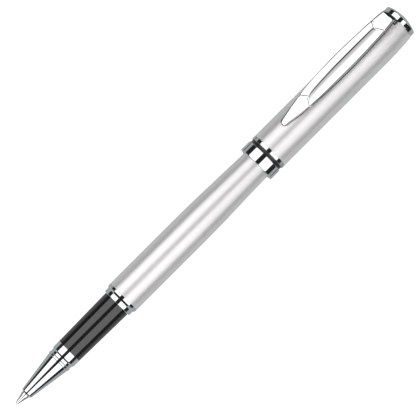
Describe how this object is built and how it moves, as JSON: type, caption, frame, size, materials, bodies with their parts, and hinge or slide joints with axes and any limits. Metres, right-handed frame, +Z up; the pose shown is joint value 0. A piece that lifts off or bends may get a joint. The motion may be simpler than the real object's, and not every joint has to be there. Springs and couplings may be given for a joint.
{
  "type": "rollerball pen",
  "caption": "Capped metal rollerball pen with the cap posted on the barrel, screw-in section, refill and leaf-shaped spring clip.",
  "frame": {"origin": "middle of the posted pen's length, on the surface it lies on, under the pen's axis", "axes": "+X along the pen from the writing tip to the finial, +Z up through the clip, +Y across the pen"},
  "size_m": [0.1534, 0.0118, 0.0137],
  "materials": {
    "satin_silver": "satin silver lacquer",
    "chrome_trim": "polished chrome plate",
    "black_lacquer": "gloss black",
    "brass": "turned brass",
    "turned_aluminium": "turned aluminium",
    "dark_metal": "dark satin metal",
    "point_steel": "turned stainless steel",
    "spring_steel": "drawn steel wire",
    "refill_metal": "drawn metal tube",
    "refill_plastic": "moulded ivory plastic",
    "liner_plastic": "moulded white plastic",
    "black_plastic": "moulded black plastic",
    "black_rubber": "matt rubber",
    "ink_fibre": "ink-soaked fibre",
    "wick_fibre": "pressed fibre rod",
    "carbide": "polished carbide"
  },
  "bodies": {
    "barrel": {"barrel_tube": "satin_silver", "barrel_front_ring": "chrome_trim", "thread_bush": "brass", "barrel_tail_plug": "dark_metal", "refill_spring": "spring_steel"},
    "trim_ring": {"section_trim_ring": "chrome_trim"},
    "section": {"section_core": "turned_aluminium", "grip_sleeve": "black_lacquer", "nose_cone": "chrome_trim", "section_o_ring": "black_rubber"},
    "refill": {"refill_point": "point_steel", "refill_adapter": "refill_plastic", "refill_tube": "refill_metal", "ink_reservoir": "ink_fibre", "feed_wick": "wick_fibre", "refill_plug": "black_plastic"},
    "ball": {"writing_ball": "carbide"},
    "cap": {"cap_tube": "satin_silver", "cap_lip_ring": "chrome_trim", "cap_trim_ring": "chrome_trim", "cap_bush": "dark_metal", "cap_liner": "liner_plastic", "tip_seal": "black_rubber", "clip_retainer": "dark_metal", "finial": "chrome_trim", "finial_stud": "brass"},
    "clip": {"clip": "chrome_trim"}
  },
  "joints": [
    {"name": "cap_pull", "type": "slide", "parent": "barrel", "child": "cap", "axis": [1, 0, 0], "range_m": [0, 0.03]},
    {"name": "clip_flex", "type": "hinge", "parent": "cap", "child": "clip", "pos_m": [0.0732, 0, 0.01153], "axis": [0, 1, 0], "range_deg": [0, 4], "stiffness_Nm_per_rad": 8, "springref_deg": -0.57},
    {"name": "section_travel", "type": "slide", "parent": "barrel", "child": "trim_ring", "axis": [-1, 0, 0], "range_m": [0, 0.006]},
    {"name": "section_turn", "type": "hinge", "parent": "trim_ring", "child": "section", "pos_m": [-0.0357, 0, 0.00592], "axis": [-1, 0, 0], "range_deg": [0, 1440]},
    {"name": "refill_float", "type": "slide", "parent": "section", "child": "refill", "axis": [1, 0, 0], "range_m": [0, 0.0015], "stiffness_N_per_m": 250, "springref_m": -0.003, "deforming": ["refill_spring"]},
    {"name": "ball_spin", "type": "hinge", "parent": "refill", "child": "ball", "pos_m": [-0.07635, 0, 0.00592], "axis": [0, 1, 0], "continuous": true}
  ],
  "couplings": [
    {"joint": "section_turn", "follows": "section_travel", "rad_per_m": 4188.8}
  ]
}
